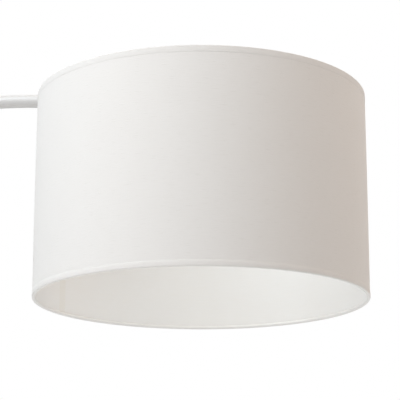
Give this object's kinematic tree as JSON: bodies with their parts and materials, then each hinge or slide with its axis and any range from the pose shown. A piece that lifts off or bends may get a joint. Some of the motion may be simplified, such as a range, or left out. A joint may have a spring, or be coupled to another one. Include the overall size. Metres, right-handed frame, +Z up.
{
  "type": "arc floor lamp",
  "caption": "Floor lamp with a round weighted base, an upright pole, a long arc arm that slides and swivels, and a drum shade on a tilting knuckle.",
  "frame": {"origin": "centre of the base's flat underside, on the pole's axis", "axes": "+Z up along the pole, +X from the pole toward the shade in the arc's plane, +Y across the arc's plane"},
  "size_m": [1.7673, 0.45, 1.7448],
  "materials": {
    "white_paint": "white powder coat, fine low texture, satin",
    "raw_steel": "zinc-plated steel, satin",
    "cast_iron": "rough grey casting with a thin black wash",
    "brass": "rolled brass, satin",
    "aluminium": "plain rolled aluminium",
    "white_plastic": "white moulded thermoplastic, low sheen",
    "black_rubber": "black moulded rubber",
    "lead_sheath": "white PVC cable sheath",
    "shade_fabric": "off-white fine plain weave with faint horizontal slubs",
    "shade_hem": "the same fabric as a folded self tape",
    "shade_lining": "smooth white laminated lining, low sheen",
    "opal_diffuser": "opal diffusing plastic, satin",
    "felt_pad": "dark pressed felt",
    "fibre": "brown vulcanised fibre",
    "circuit_board": "green glass-fibre board"
  },
  "bodies": {
    "base": {"base_pad": "felt_pad", "base_weight": "cast_iron", "base_cover": "white_paint", "cable_grommet": "black_rubber", "base_nipple": "raw_steel", "base_nut": "raw_steel", "base_washer": "raw_steel", "foot_collar": "white_paint", "pole_foot": "raw_steel", "pole": "white_paint", "pole_top_bush": "white_plastic", "clamp_collar": "white_paint", "pole_lead": "lead_sheath"},
    "clamp_knob": {"clamp_screw": "raw_steel", "clamp_knob": "white_plastic"},
    "leg_carriage": {"leg_glide_bush": "white_plastic"},
    "arc_arm": {"leg_tube": "white_paint", "leg_coupler": "raw_steel", "lower_arc": "white_paint", "upper_arc": "white_paint", "arc_joint_ring": "white_paint", "leg_joint_screw": "raw_steel", "arc_joint_screw": "raw_steel", "arm_lead": "lead_sheath", "arm_end_plug": "raw_steel", "knuckle_upper": "white_paint", "friction_washer": "fibre", "pivot_bolt": "raw_steel"},
    "tilt_knob": {"tilt_knob": "white_plastic"},
    "lamp_head": {"knuckle_lower": "white_paint", "holder_nipple": "raw_steel", "nipple_nut": "raw_steel", "holder_cap": "white_plastic", "holder_body": "white_plastic", "holder_insert": "white_plastic", "holder_shell": "brass", "centre_contact": "brass", "shade_ring_nut": "white_plastic", "head_lead": "lead_sheath", "bulb_contact": "brass", "bulb_insulator": "black_rubber", "bulb_cap": "aluminium", "bulb_body": "white_plastic", "led_driver": "circuit_board", "led_board": "aluminium", "bulb_dome": "opal_diffuser", "shade_spider": "white_paint", "shade_fabric": "shade_fabric", "shade_lining": "shade_lining", "shade_top_hem": "shade_hem", "shade_bottom_hem": "shade_hem", "shade_bottom_ring": "white_paint"}
  },
  "joints": [
    {"name": "arc_height", "type": "slide", "parent": "base", "child": "leg_carriage", "axis": [0, 0, 1], "range_m": [0, 0.25]},
    {"name": "arc_swivel", "type": "hinge", "parent": "leg_carriage", "child": "arc_arm", "pos_m": [0, 0, 0.32], "axis": [0, 0, 1], "range_deg": [-170, 170]},
    {"name": "head_tilt", "type": "hinge", "parent": "arc_arm", "child": "lamp_head", "pos_m": [1.37038, 0, 1.6647], "axis": [0, -1, 0], "range_deg": [-3, 25]},
    {"name": "clamp_knob_turn", "type": "hinge", "parent": "base", "child": "clamp_knob", "pos_m": [-0.03, 0, 0.708], "axis": [-1, 0, 0], "range_deg": [0, 360]},
    {"name": "tilt_knob_turn", "type": "hinge", "parent": "arc_arm", "child": "tilt_knob", "pos_m": [1.37038, 0.01, 1.6647], "axis": [0, 1, 0], "range_deg": [0, 360]}
  ]
}
